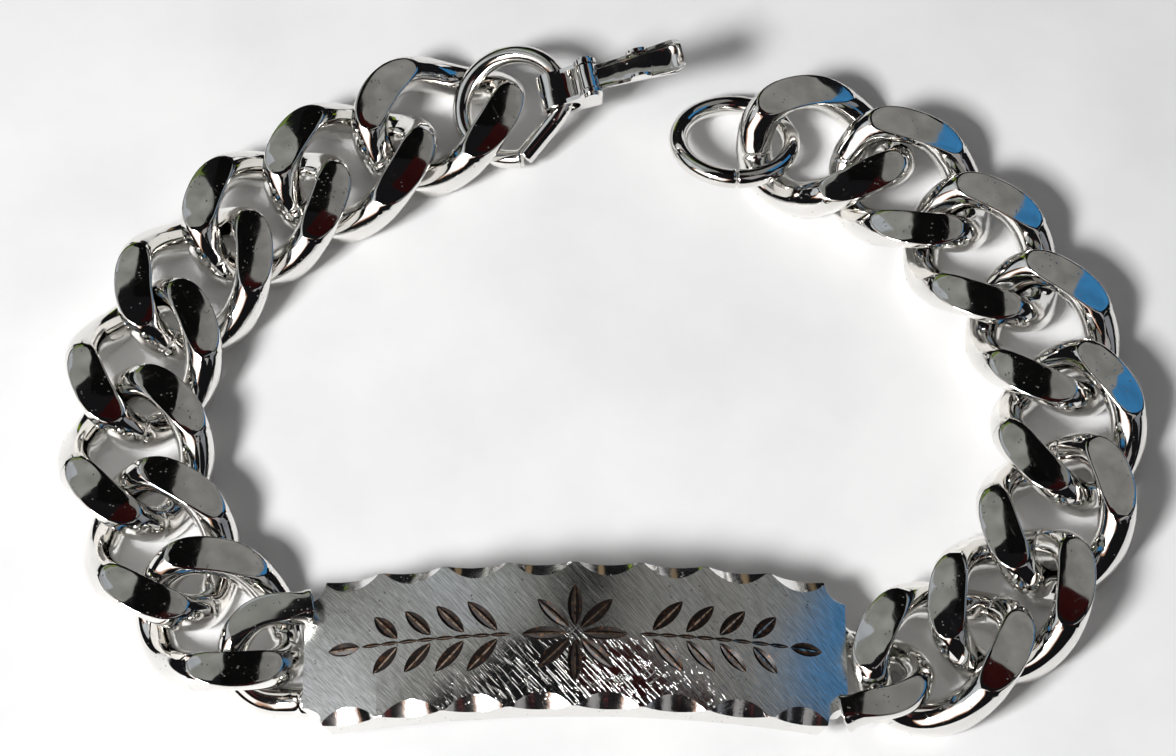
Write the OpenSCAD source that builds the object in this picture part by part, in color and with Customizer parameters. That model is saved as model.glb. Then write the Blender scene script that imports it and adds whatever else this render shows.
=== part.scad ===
// An identity bracelet lying open on a table, as it lies when it is unfastened.
// A bent name plate with a soldered loop at each end carries a chain of flat-ground
// curb links on either side. One chain ends in a jump ring with a fold-over clasp,
// the other in the plain ring that the clasp closes on.
// X runs along the plate, Y from the plate to the clasp, Z up. The table is at Z = 0.
// The origin is the middle of the footprint. Everything is in millimetres.

/* [Curb links] */
// Outer length of a link
link_length = 15.3; // [15.1:0.1:15.6]
// Outer width of a link before its ends are twisted
link_width = 12.8; // [12.6:0.1:13]
// Diameter of the wire that a link is bent from
link_wire = 3.1; // [2.6:0.1:3.1]
// Turn of each end of a link out of its middle plane, in degrees
link_twist = 45; // [40:1:50]
// Height of the chain between its ground top and bottom faces
chain_height = 4.7; // [4.4:0.1:5.2]

/* [Name plate] */
// Length of the plate, end to end in a straight line
plate_length = 42.4; // [40:0.2:44]
// Width of the plate
plate_width = 12.2; // [11.6:0.1:13]
// Thickness of the plate
plate_thickness = 2.2; // [1.6:0.1:2.4]
// Bend radius of the plate's upper face
plate_bend = 52; // [48:1:70]
// Radius of the notch at each corner of the plate
corner_notch = 1.6; // [1:0.1:2]
// Number of bright cuts along each long edge
scallop_count = 8; // [5:1:8]
// Length of one bright cut along the edge
scallop_length = 4.9; // [3.6:0.1:5]
// Width of a bright cut on the upper face
scallop_width = 1.2; // [0.8:0.1:1.6]
// Depth of the engraved leaf ornament
groove_depth = 0.25; // [0.15:0.05:0.5]

/* [Plate loops] */
// Diameter of the wire of the two soldered loops
loop_wire = 2.6; // [2.2:0.1:2.6]
// Bend radius of a loop, to the middle of its wire
loop_bend = 3.7; // [3.6:0.1:3.8]
// Distance from the plate's end to the centre of a loop's bend
loop_reach = 2; // [1.9:0.1:2.1]
// Tilt of a loop's bend about its own length, in degrees
loop_tilt = 32; // [30:1:34]

/* [Rings] */
// Diameter of the wire of both rings
ring_wire = 1.6; // [1.3:0.1:1.6]
// Outer diameter of the jump ring that carries the clasp
jump_ring_outer = 10.8; // [10.6:0.1:11]
// Outer diameter of the plain end ring
end_ring_outer = 11.1; // [10.9:0.1:11.3]
// Part of the jump ring that was pulled straight, in degrees
straight_angle = 73; // [60:1:76]

/* [Clasp] */
// Width of the clasp's strap and ears
clasp_width = 3; // [2.8:0.1:3.2]
// Thickness of the clasp's sheet
clasp_sheet = 0.35; // [0.3:0.05:0.4]
// Distance from the ring's wire to the hinge pin
pin_reach = 2.3; // [2.2:0.1:2.6]
// Height of the hinge pin above the ring's wire
pin_rise = 1.75; // [1.7:0.05:2]
// Diameter of the hinge pin
pin_diameter = 0.8; // [0.6:0.1:0.9]
// Length of the cover beyond the hinge pin
cover_length = 8.2; // [7:0.1:9]
// Width of the cover at its free end
cover_end_width = 2.9; // [2.5:0.1:3.2]
// Height of the cover's side walls at its free end, above the floor's underside
cover_wall = 1.35; // [1:0.05:1.5]

/* [Hidden] */

silver = [0.78, 0.77, 0.75];
bright = [0.86, 0.86, 0.85];

// Middle of the footprint in the layout's own coordinates
layout_middle = [1.16, -1.33];

// Where the plate lies
plate_x = -1;
plate_y = -26.4;
left_end = [plate_x - plate_length / 2, plate_y];
right_end = [plate_x + plate_length / 2, plate_y];

// Where each link lies: X and Y from the plate's end, and heading from the plate
// outwards, in degrees
left_route = [
    [-6.8, 3.3, 144],
    [-11.8, 9.8, 115],
    [-14.2, 18.2, 98],
    [-13.9, 26.8, 77],
    [-10.1, 34.5, 57],
    [-4.4, 41, 37],
    [2.4, 45.4, 27],
    [9.7, 49.9, 25]];
right_route = [
    [7.6, 0.9, 27],
    [13.1, 5.4, 47],
    [17.1, 12.8, 68],
    [18.6, 20.6, 91],
    [17.1, 28.8, 115],
    [12.4, 36.3, 122],
    [6.7, 43, 136],
    [-0.2, 46.9, 169]];

// Links: half lengths of the wire's centre line, and how its outline is rounded
half_long = (link_length - link_wire) / 2;
half_wide = (link_width - link_wire) / 2;
outline_power = 2 / 2.3;
twist_lead = 0.3;
link_rings = 36;
wire_sides = 12;

// Plate: half the angle of its bend, and the height of its ends
half_angle = asin(plate_length / 2 / plate_bend);
end_top = chain_height / 2 + plate_thickness / 2 * cos(half_angle);
bend_z = end_top - plate_bend * cos(half_angle);
left_loop_shift = 0.5;
right_loop_shift = -1.3;

// Scallops: the cutter is a cylinder whose axis slopes down and outwards. The row
// runs on a little past the corner notches at both ends
cutter_slope = 30;
scallop_depth = scallop_width * sin(cutter_slope);
cutter_radius = (pow(scallop_length / 2, 2) + pow(scallop_depth, 2)) / (2 * scallop_depth);
row_overrun = 0.95;
scallop_step = (plate_length - 2 * corner_notch + 2 * row_overrun) / scallop_count;

// Ornament: one rosette of leaves and a spray of leaves on either side of it
rosette_leaves = 8;
rosette_hole = 0.6;
leaf_length = 3.5;
leaf_width = 1.15;
spray_start = 6;
spray_step = 2.6;
spray_pairs = 4;
spray_shrink = 0.25;
leaf_lean = 48;
stem_width = 0.35;

// Loops: where the wire's two ends are soldered on, beside and above the middle
seat_side = 3.6;
seat_rise = 1.2;
high_leg_overlap = 0.3;
low_leg_overlap = 1.3;

// Rings: the middle of each, from the same end of the plate as its chain, and its
// tilt about X, then Y
jump_ring_at = [15.9, 50.8, 2.81];
jump_ring_tilt = [16, -17];
end_ring_at = [-7.9, 47.7, 2.28];
end_ring_tilt = [-18, 2];
straight_start = -83;
seam_width = 0.12;
seam_depth = 0.12;

// How much wider a wire is where it bends sharply
corner_bead = 0.04;

// Clasp: its place round the jump ring, and how far it droops below the ring's plane
clasp_place = 8;
clasp_droop = 9;
slot_half = 1;
strap_half = slot_half + clasp_sheet;
strap_back = -0.85;
strap_front = 0.1;
ear_radius = 0.95;
knuckle_radius = 0.8;
hinge_gap = 0.05;
pin_gap = 0.03;
head_radius = 0.65;
head_thickness = 0.22;
bump_at = 4.4;
bump_radius = 0.95;
bump_lift = 0.15;
tab_length = 0.6;
tab_width = 0.9;
margin = 1;

// Point on the centre line of a link's wire at angle t round the link
function rounded(v) = sign(v) * pow(abs(v), outline_power);
function link_centre(t) =
    let (x = half_long * rounded(cos(t)), y = half_wide * rounded(sin(t)), u = x / half_long,
         q = -link_twist * ((1 + twist_lead) * u - twist_lead * pow(u, 3)))
    [x, y * cos(q), y * sin(q)];

function unit(v) = v / norm(v);

// Ring of points round the wire at angle t, square to the centre line
function wire_ring(t) =
    let (p = link_centre(t), along = unit(link_centre(t + 0.5) - link_centre(t - 0.5)),
         out = unit(p - (p * along) * along), up = cross(along, out))
    [for (k = [0:wire_sides - 1]) let (a = 360 * (k + 0.5) / wire_sides)
        p + link_wire / 2 * (cos(a) * out + sin(a) * up)];

module twisted_wire() {
    rows = [for (i = [0:link_rings - 1]) wire_ring(360 * (i + 0.5) / link_rings)];
    points = [for (row = rows) each row];
    faces = [for (i = [0:link_rings - 1], k = [0:wire_sides - 1])
        let (n = (i + 1) % link_rings, m = (k + 1) % wire_sides,
             a = i * wire_sides + k, b = n * wire_sides + k,
             c = n * wire_sides + m, d = i * wire_sides + m)
        each [[a, c, d], [a, b, c]]];
    polyhedron(points, faces);
}

// What lies between the chain's two ground faces
module ground_slab(length) {
    translate([-length / 2, -length / 2, 0]) cube([length, length, chain_height]);
}

module curb_link(end, place) {
    color(silver) translate(end) translate([place[0], place[1], 0]) rotate([0, 0, place[2]])
        intersection() {
            translate([0, 0, chain_height / 2]) twisted_wire();
            ground_slab(2 * link_length);
        }
}

// Lens outline of a leaf from the origin along X
module leaf(length, width) {
    bow = (length * length + width * width) / (4 * width);
    intersection() {
        translate([length / 2, bow - width / 2]) circle(r = bow, $fn = 96);
        translate([length / 2, width / 2 - bow]) circle(r = bow, $fn = 96);
    }
}

module ornament() {
    for (i = [0:rosette_leaves - 1]) rotate(360 * i / rosette_leaves)
        translate([rosette_hole, 0]) leaf(leaf_length, leaf_width);
    for (turn = [0, 180]) rotate(turn) {
        translate([spray_start - 1, -stem_width / 2])
            square([spray_pairs * spray_step + 1, stem_width]);
        for (i = [0:spray_pairs - 1], side = [-1, 1])
            translate([spray_start + i * spray_step, side * stem_width])
                rotate(side * leaf_lean) leaf(leaf_length - i * spray_shrink, leaf_width);
        translate([spray_start + spray_pairs * spray_step + stem_width, 0])
            leaf(leaf_length - spray_pairs * spray_shrink, leaf_width);
    }
}

// Bent bar of the plate's cross-section, cut off square to its bend at both ends
module bent_bar() {
    far = 2 * plate_bend;
    rotate([90, 0, 0]) linear_extrude(height = plate_width, center = true)
        intersection() {
            difference() {
                circle(r = plate_bend, $fn = 360);
                circle(r = plate_bend - plate_thickness, $fn = 360);
            }
            polygon([[0, 0], [far * sin(half_angle), far * cos(half_angle)],
                [-far * sin(half_angle), far * cos(half_angle)]]);
        }
}

module scallop_cuts() {
    for (side = [-1, 1], i = [0:scallop_count - 1])
        rotate([0, (i - (scallop_count - 1) / 2) * scallop_step / plate_bend * 180 / PI, 0])
            translate([0, side * plate_width / 2, plate_bend])
                rotate([side * (90 - cutter_slope), 0, 0])
                    translate([0, side * (cutter_radius - scallop_depth), 0])
                        cylinder(r = cutter_radius, h = 2 * plate_width, center = true, $fn = 180);
}

module engraving() {
    difference() {
        linear_extrude(height = plate_bend + margin) ornament();
        rotate([90, 0, 0])
            cylinder(r = plate_bend - groove_depth, h = plate_width, center = true, $fn = 360);
    }
}

module corner_cuts() {
    for (x = [-1, 1], y = [-1, 1])
        translate([x * plate_length / 2, y * plate_width / 2, 0])
            cylinder(r = corner_notch, h = 2 * plate_bend, $fn = 48);
}

// Loop wire of one plate end: a tilted half ring and two legs, ground like the chain
module end_loop() {
    bend_side = loop_bend * cos(loop_tilt);
    bend_rise = loop_bend * sin(loop_tilt);
    intersection() {
        translate([0, 0, chain_height / 2]) {
            translate([loop_reach, 0, 0]) rotate([-loop_tilt, 0, 0])
                rotate([0, 0, -90]) rotate_extrude(angle = 180, $fn = 96)
                    translate([loop_bend, 0]) circle(d = loop_wire, $fn = 48);
            for (side = [-1, 1]) {
                overlap = side < 0 ? high_leg_overlap : low_leg_overlap;
                bar([-overlap, side * seat_side, -side * seat_rise],
                    [loop_reach, side * bend_side, -side * bend_rise], loop_wire);
                translate([loop_reach, side * bend_side, -side * bend_rise])
                    sphere(d = loop_wire + corner_bead, $fn = 48);
            }
        }
        ground_slab(6 * loop_bend);
    }
}

// Round bar between two points
module bar(from, to, diameter) {
    v = to - from;
    translate(from) rotate([0, acos(v[2] / norm(v)), atan2(v[1], v[0])])
        cylinder(d = diameter, h = norm(v), $fn = 48);
}

module id_plate() {
    color(silver) translate([plate_x, plate_y, 0]) {
        translate([0, 0, bend_z]) difference() {
            bent_bar();
            corner_cuts();
            scallop_cuts();
            engraving();
        }
        translate([plate_length / 2, right_loop_shift, 0]) end_loop();
        translate([-plate_length / 2, left_loop_shift, 0]) rotate([0, 0, 180]) end_loop();
    }
}

// Fine line where the ends of a ring's wire meet
module seam_cut(radius) {
    translate([radius, 0, 0]) rotate([90, 0, 0]) difference() {
        cylinder(d = ring_wire + margin, h = seam_width, center = true, $fn = 48);
        cylinder(d = ring_wire - 2 * seam_depth, h = margin, center = true, $fn = 48);
    }
}

module jump_ring() {
    radius = (jump_ring_outer - ring_wire) / 2;
    ends = [for (a = [straight_start, straight_start + straight_angle])
        [radius * cos(a), radius * sin(a), 0]];
    color(bright) translate(left_end) translate(jump_ring_at)
        rotate([jump_ring_tilt[0], jump_ring_tilt[1], 0]) difference() {
            union() {
                rotate([0, 0, straight_start + straight_angle])
                    rotate_extrude(angle = 360 - straight_angle, $fn = 120)
                        translate([radius, 0]) circle(d = ring_wire, $fn = 48);
                bar(ends[0], ends[1], ring_wire);
                for (p = ends) translate(p) sphere(d = ring_wire + corner_bead, $fn = 48);
            }
            rotate([0, 0, straight_start]) seam_cut(radius);
        }
}

module end_ring() {
    radius = (end_ring_outer - ring_wire) / 2;
    color(bright) translate(right_end) translate(end_ring_at)
        rotate([end_ring_tilt[0], end_ring_tilt[1], 0]) difference() {
            rotate_extrude($fn = 120) translate([radius, 0]) circle(d = ring_wire, $fn = 48);
            rotate([0, 0, -90]) seam_cut(radius);
        }
}

// Puts the clasp on the jump ring: X points away from the ring, Y along its wire
module on_jump_ring() {
    radius = (jump_ring_outer - ring_wire) / 2;
    translate(left_end) translate(jump_ring_at)
        rotate([jump_ring_tilt[0], jump_ring_tilt[1], 0]) rotate([0, 0, clasp_place])
            translate([radius, 0, 0]) rotate([0, clasp_droop, 0]) children();
}

// Extrudes an outline drawn in X and Z along Y, about the middle
module across(width) {
    rotate([90, 0, 0]) linear_extrude(height = width, center = true) children();
}

module strap_outline(half) {
    translate([strap_back, 0]) circle(r = half, $fn = 64);
    translate([strap_front, 0]) circle(r = half, $fn = 64);
    translate([strap_back, -half]) square([strap_front - strap_back, 2 * half]);
}

module ear_outline() {
    translate([pin_reach, pin_rise]) circle(r = ear_radius, $fn = 64);
    polygon([[strap_front, -strap_half], [pin_reach + ear_radius / 2, -strap_half],
        [pin_reach + ear_radius, pin_rise], [pin_reach - ear_radius, pin_rise],
        [strap_front, strap_half]]);
}

module clasp_base() {
    inside = clasp_width - 2 * clasp_sheet;
    color(bright) on_jump_ring() difference() {
        union() {
            across(clasp_width) strap_outline(strap_half);
            difference() {
                across(clasp_width) ear_outline();
                translate([0, -inside / 2, clasp_sheet - strap_half])
                    cube([2 * pin_reach, inside, 4 * pin_rise]);
            }
        }
        across(2 * clasp_width) strap_outline(slot_half);
        translate([pin_reach, 0, pin_rise]) rotate([90, 0, 0])
            cylinder(d = pin_diameter + 2 * pin_gap, h = 2 * clasp_width, center = true, $fn = 48);
    }
}

module clasp_pin() {
    half = clasp_width / 2 + pin_gap;
    color(bright) on_jump_ring() translate([pin_reach, 0, pin_rise]) rotate([90, 0, 0]) {
        cylinder(d = pin_diameter, h = 2 * half, center = true, $fn = 48);
        for (side = [0, 1]) mirror([0, 0, side]) translate([0, 0, half])
            cylinder(r = head_radius, h = head_thickness, $fn = 48);
    }
}

// Plan of the cover, narrow between the ears and wider at its free end
module cover_plan(inset) {
    near = clasp_width / 2 - clasp_sheet - hinge_gap - inset;
    far = cover_end_width / 2 - inset;
    start = ear_radius + 2 * hinge_gap;
    end = cover_length - inset;
    polygon([[0, -near], [start, -near], [end, -far], [end, far], [start, near], [0, near]]);
}

// Side view of the cover from the pin outwards, with the snap bump on its edge
module cover_side() {
    low = -knuckle_radius;
    polygon([[0, low], [cover_length, low], [cover_length, low + cover_wall],
        [ear_radius, low + cover_wall - clasp_sheet], [0, low + clasp_sheet]]);
    translate([bump_at, bump_lift]) circle(r = bump_radius, $fn = 64);
}

module clasp_cover() {
    knuckle = clasp_width - 2 * (clasp_sheet + hinge_gap);
    color(bright) on_jump_ring() translate([pin_reach, 0, pin_rise]) difference() {
        union() {
            rotate([90, 0, 0])
                cylinder(r = knuckle_radius, h = knuckle, center = true, $fn = 64);
            difference() {
                intersection() {
                    across(2 * cover_end_width) cover_side();
                    translate([0, 0, -2 * cover_wall])
                        linear_extrude(height = 4 * cover_wall) cover_plan(0);
                }
                translate([0, 0, clasp_sheet - knuckle_radius])
                    linear_extrude(height = 4 * cover_wall) cover_plan(clasp_sheet);
            }
            translate([cover_length - clasp_sheet / 2, -tab_width / 2,
                cover_wall - knuckle_radius - clasp_sheet])
                cube([tab_length + clasp_sheet / 2, tab_width, clasp_sheet]);
        }
        rotate([90, 0, 0])
            cylinder(d = pin_diameter + 2 * hinge_gap, h = 2 * knuckle, center = true, $fn = 48);
    }
}

// Moves the layout so that the middle of its footprint is at the origin
module laid_out() {
    translate([-layout_middle[0], -layout_middle[1], 0]) children();
}

laid_out() id_plate();
for (i = [1:8])
    laid_out() curb_link(left_end, left_route[i - 1]);
for (i = [1:8])
    laid_out() curb_link(right_end, right_route[i - 1]);
laid_out() jump_ring();
laid_out() clasp_base();
laid_out() clasp_pin();
laid_out() clasp_cover();
laid_out() end_ring();
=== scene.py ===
"""An identity bracelet lying open on a pale table: its finish, light and camera."""
import math

import bpy
import numpy as np
from mathutils import Matrix, Quaternion, Vector


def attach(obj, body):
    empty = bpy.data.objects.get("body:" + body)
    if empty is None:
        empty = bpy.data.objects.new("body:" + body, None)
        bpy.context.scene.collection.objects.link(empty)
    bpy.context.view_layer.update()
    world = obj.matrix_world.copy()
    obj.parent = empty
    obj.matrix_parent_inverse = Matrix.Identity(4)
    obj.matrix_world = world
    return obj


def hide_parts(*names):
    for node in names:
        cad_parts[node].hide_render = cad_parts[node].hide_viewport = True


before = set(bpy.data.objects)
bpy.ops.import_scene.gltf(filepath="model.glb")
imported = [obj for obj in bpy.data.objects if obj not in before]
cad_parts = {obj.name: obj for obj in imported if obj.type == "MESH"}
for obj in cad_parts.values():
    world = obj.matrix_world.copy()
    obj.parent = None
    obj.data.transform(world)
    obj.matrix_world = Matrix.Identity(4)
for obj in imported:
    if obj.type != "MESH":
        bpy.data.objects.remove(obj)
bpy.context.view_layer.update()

MM = 0.001

# Sizes that the part's source uses, in millimetres and degrees. MIDDLE is the middle of the
# bracelet's footprint in the layout, which becomes the frame's origin.
MIDDLE = np.array([1.16, -1.33, 0.0])
CHAIN_HEIGHT = 4.7
HALF_HEIGHT = CHAIN_HEIGHT / 2
LINK = dict(length=15.3, width=12.8, wire=3.1, twist=45.0, lead=0.3, power=2 / 2.3)
PLATE = dict(length=42.4, width=12.2, thick=2.2, bend=52.0, notch=1.6, at=(-1.0, -26.4))
SCALLOP = dict(count=8, length=4.9, width=1.2, slope=30.0, overrun=0.95)
LOOP = dict(wire=2.6, bend=3.7, reach=2.0, tilt=32.0, seat=3.6, rise=1.2, high=0.3, low=1.3)
LOOP_SHIFT = {"left": 0.5, "right": -1.3}
RING_WIRE = 1.6
JUMP_RING = dict(outer=10.8, at=(15.9, 50.8, 2.81), tilt=(16, -17), straight=(-83, 73))
END_RING = dict(outer=11.1, at=(-7.9, 47.7, 2.28), tilt=(-18, 2), straight=(-90, 0))
CLASP = dict(at=8.0, droop=9.0, width=3.0, sheet=0.35, pin=(2.3, 0, 1.75), play=0.05)
COVER = dict(length=8.2, end=2.9, wall=1.35, knuckle=0.8, ear=0.95, bore=0.45,
             bump=4.4, bump_radius=0.95, bump_lift=0.15)
LEFT_END = np.array([PLATE["at"][0] - PLATE["length"] / 2, PLATE["at"][1], 0])
RIGHT_END = np.array([PLATE["at"][0] + PLATE["length"] / 2, PLATE["at"][1], 0])

# Each link's place from its end of the plate, and its turn in plan
LEFT_ROUTE = [
    (-6.8, 3.3, 144), (-11.8, 9.8, 115), (-14.2, 18.2, 98), (-13.9, 26.8, 77),
    (-10.1, 34.5, 57), (-4.4, 41, 37), (2.4, 45.4, 27), (9.7, 49.9, 25)]
RIGHT_ROUTE = [
    (7.6, 0.9, 27), (13.1, 5.4, 47), (17.1, 12.8, 68), (18.6, 20.6, 91),
    (17.1, 28.8, 115), (12.4, 36.3, 122), (6.7, 43, 136), (-0.2, 46.9, 169)]


def turn(axis, degrees):
    """Rotation matrix about one axis of the frame."""
    return np.array(Matrix.Rotation(math.radians(degrees), 3, axis))


def unit(v):
    return v / np.linalg.norm(v)


# Materials
class Shader:
    """A node material and short ways to add nodes to it."""

    def __init__(self, name, base, metallic=1.0, roughness=0.08):
        self.material = bpy.data.materials.new(name)
        self.material.use_nodes = True
        self.nodes = self.material.node_tree.nodes
        self.links = self.material.node_tree.links
        self.bsdf = self.nodes["Principled BSDF"]
        self.bsdf.inputs["Base Color"].default_value = (*base, 1)
        self.bsdf.inputs["Metallic"].default_value = metallic
        self.bsdf.inputs["Roughness"].default_value = roughness
        self.place = self.nodes.new("ShaderNodeTexCoord").outputs["Object"]

    def put(self, socket, value):
        """Sets a socket to a plain value, or links another node's output to it."""
        if isinstance(value, bpy.types.NodeSocket):
            self.links.new(value, socket)
        else:
            socket.default_value = value

    def finish(self, socket, value):
        """Gives one input of the material its value."""
        self.put(self.bsdf.inputs[socket], value)

    def math(self, operation, a, b=0.0, c=0.0):
        node = self.nodes.new("ShaderNodeMath")
        node.operation = operation
        for socket, value in zip(node.inputs, (a, b, c)):
            self.put(socket, value)
        return node.outputs[0]

    def line(self, value, slope, start):
        """start + slope * value."""
        return self.math("ADD", self.math("MULTIPLY", value, slope), start)

    def noise(self, scale, detail, rough=0.5, vector=None):
        node = self.nodes.new("ShaderNodeTexNoise")
        self.put(node.inputs["Vector"], self.place if vector is None else vector)
        node.inputs["Scale"].default_value = scale
        node.inputs["Detail"].default_value = detail
        node.inputs["Roughness"].default_value = rough
        return node.outputs["Fac"]

    def grain(self, angle, along, across, down, detail, rough):
        """Noise stretched along one angle in plan, by its repeats per metre each way."""
        node = self.nodes.new("ShaderNodeMapping")
        node.vector_type = "TEXTURE"
        self.put(node.inputs["Vector"], self.place)
        node.inputs["Rotation"].default_value = (0, 0, math.radians(angle))
        node.inputs["Scale"].default_value = (1 / along, 1 / across, 1 / down)
        return self.noise(1.0, detail, rough, node.outputs[0])

    def spots(self, scale, size):
        """Small round spots in loose patches, 1 inside and 0 outside."""
        node = self.nodes.new("ShaderNodeTexVoronoi")
        self.put(node.inputs["Vector"], self.place)
        node.inputs["Scale"].default_value = scale
        patches = self.remap(self.noise(scale * 0.35, detail=1), low=0.545, high=0.62)
        inside = self.remap(node.outputs["Distance"], low=size, high=size * 0.5)
        return self.math("MULTIPLY", inside, patches)

    def remap(self, value, low, high, to_low=0.0, to_high=1.0):
        node = self.nodes.new("ShaderNodeMapRange")
        self.put(node.inputs["Value"], value)
        node.inputs["From Min"].default_value = low
        node.inputs["From Max"].default_value = high
        node.inputs["To Min"].default_value = to_low
        node.inputs["To Max"].default_value = to_high
        return node.outputs["Result"]

    def mix(self, share, a, b):
        node = self.nodes.new("ShaderNodeMix")
        node.data_type = "RGBA"
        self.put(node.inputs["Factor"], share)
        for socket, colour in (("A", a), ("B", b)):
            is_link = isinstance(colour, bpy.types.NodeSocket)
            self.put(node.inputs[socket], colour if is_link else (*colour, 1))
        return node.outputs["Result"]

    def scratches(self, angle, along, across, low, high):
        """Thin straight scratches at one angle in plan, from their repeats per metre."""
        lines = self.grain(angle, along, across, down=across * 0.3, detail=1, rough=0.6)
        return self.remap(lines, low, high)

    def bump(self, *layers):
        """Stacks bump nodes: each layer is a height, its depth in metres and a strength."""
        normal = None
        for height, depth, strength in layers:
            node = self.nodes.new("ShaderNodeBump")
            self.put(node.inputs["Height"], height)
            node.inputs["Distance"].default_value = depth
            node.inputs["Strength"].default_value = strength
            if normal is not None:
                self.put(node.inputs["Normal"], normal)
            normal = node.outputs["Normal"]
        self.finish("Normal", normal)


# Strength of the bump of pits, on every metal
PIT_STRENGTH = 0.8


def polished(name, base, rough, wave, pits, chatter=0.0):
    """Bright plated metal with hairline scratches.

    Its waves, pits and chatter marks are given by their depths in millimetres.
    """
    s = Shader(name, base)
    haze = s.noise(420, detail=2, rough=0.6)
    marks = s.math("MULTIPLY",
                   s.scratches(35, along=500, across=9000, low=0.66, high=0.72),
                   s.remap(haze, low=0.4, high=0.7))
    crossing = s.math("MULTIPLY",
                      s.scratches(-62, along=400, across=8000, low=0.68, high=0.74),
                      s.remap(haze, low=0.62, high=0.4))
    lines = s.math("MAXIMUM", marks, crossing)
    dots = s.spots(2600, size=0.22)
    hazy = s.remap(haze, low=0.3, high=0.75, to_low=rough * 0.6, to_high=rough * 1.7)
    rough_lines = s.math("MULTIPLY", lines, 0.12)
    rough_pits = s.math("MULTIPLY", dots, 0.3)
    s.finish("Roughness", s.math("ADD", s.math("ADD", hazy, rough_lines), rough_pits))
    pit_colour = tuple(c * 0.35 for c in base)
    pit_share = s.math("MULTIPLY", dots, 0.8)
    s.finish("Base Color", s.mix(pit_share, base, pit_colour))
    layers = [(s.noise(520, detail=1, rough=0.4), wave * MM, 1.0),
              (dots, -pits * MM, PIT_STRENGTH)]
    if chatter:
        layers.append((s.noise(3200, detail=1, rough=0.6), chatter * MM, 1.0))
    s.bump(*layers)
    return s.material


# Middle and repeats per metre of the worn zone on the plate's face, and its soft limits
WORN = dict(x=-2.5, y=-29.0, per_x=72, per_y=180, full=0.35, none=1.15)
# Slight bends in what the face mirrors: a crown across the plate, a hollow below its
# middle, and a flatter right end. In millimetres, with slopes as rise over run.
CROWN = 60.0
HOLLOW = dict(x=-4.5, full=7.0, none=13.0, slope=0.07, below=0.2, soft=1.5)
FLATTER = dict(x=7.5, slope=0.09, soft=2.0)


def worn_zone(s, haze):
    """1 where the face is worn bright, 0 where it is still satin."""
    spread = s.nodes.new("ShaderNodeMapping")
    s.put(spread.inputs["Vector"], s.place)
    spread.inputs["Location"].default_value = (
        -WORN["x"] * WORN["per_x"] * MM, -WORN["y"] * WORN["per_y"] * MM, 0)
    spread.inputs["Scale"].default_value = (WORN["per_x"], WORN["per_y"], 0)
    length = s.nodes.new("ShaderNodeVectorMath")
    length.operation = "LENGTH"
    s.put(length.inputs[0], spread.outputs[0])
    ragged = s.remap(haze, low=0.3, high=0.7, to_low=-0.2, to_high=0.2)
    distance = s.math("ADD", length.outputs["Value"], ragged)
    return s.remap(distance, WORN["full"], WORN["none"], to_low=1.0, to_high=0.0)


def mirror_bend(s):
    """Height in metres of the face's slight bends over a true flat."""
    across = s.nodes.new("ShaderNodeSeparateXYZ")
    s.put(across.inputs[0], s.place)
    x, y = across.outputs["X"], across.outputs["Y"]
    offset = s.math("SUBTRACT", y, (PLATE["at"][1] - MIDDLE[1]) * MM)
    crown = s.math("MULTIPLY", s.math("MULTIPLY", offset, offset), -0.5 / (CROWN * MM))
    beside = s.math("ABSOLUTE", s.math("ADD", x, -HOLLOW["x"] * MM))
    slope = s.remap(beside, HOLLOW["full"] * MM, HOLLOW["none"] * MM, HOLLOW["slope"], 0.0)
    below = s.math("ADD", offset, -HOLLOW["below"] * MM)
    hollow = s.math("MULTIPLY", slope, s.math("SMOOTH_MIN", below, 0.0, HOLLOW["soft"] * MM))
    beyond = s.math("ADD", x, -FLATTER["x"] * MM)
    lift = s.math("SMOOTH_MAX", beyond, 0.0, FLATTER["soft"] * MM)
    return s.math("ADD", s.math("ADD", crown, hollow),
                  s.math("MULTIPLY", lift, FLATTER["slope"]))


def satin_face():
    """The plate's face: slanting scratches over satin, worn bright below its middle."""
    s = Shader("plate_face", (0.8, 0.79, 0.77))
    haze = s.noise(260, detail=2, rough=0.6)
    fine = s.grain(-50, along=500, across=13000, down=3000, detail=2, rough=0.65)
    cross = s.grain(44, along=700, across=12000, down=3000, detail=1, rough=0.65)
    deep = s.scratches(-50, along=520, across=15000, low=0.6, high=0.68)
    deep_cross = s.math("MULTIPLY",
                        s.scratches(44, along=560, across=14000, low=0.64, high=0.72),
                        s.remap(haze, low=0.42, high=0.58))
    dots = s.spots(2100, size=0.2)
    worn = worn_zone(s, haze)
    lines = s.math("MULTIPLY", s.math("MAXIMUM", deep, deep_cross), s.line(worn, 0.75, 0.25))
    brushed_tone = s.remap(fine, low=0.35, high=0.65)
    tone = s.mix(brushed_tone, (0.58, 0.57, 0.55), (0.96, 0.95, 0.93))
    pit_colour = (0.12, 0.11, 0.1)
    pit_share = s.math("MULTIPLY", dots, 0.85)
    s.finish("Base Color", s.mix(pit_share, tone, pit_colour))
    satin = s.remap(haze, low=0.3, high=0.7, to_low=0.17, to_high=0.24)
    smooth = s.line(lines, 0.25, 0.1)
    unworn = s.math("SUBTRACT", 1.0, worn)
    s.finish("Roughness", s.math("ADD", s.math("MULTIPLY", satin, unworn),
                                 s.math("MULTIPLY", smooth, worn)))
    brushed = s.math("SUBTRACT", 1.0, s.math("MULTIPLY", worn, 0.85))
    s.bump((mirror_bend(s), 1.0, 1.0),
           (s.math("MULTIPLY", fine, brushed), 0.006 * MM, 1.0),
           (s.math("MULTIPLY", cross, brushed), 0.004 * MM, 1.0),
           (lines, -0.009 * MM, 1.0),
           (dots, -0.002 * MM, PIT_STRENGTH))
    return s.material


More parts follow.
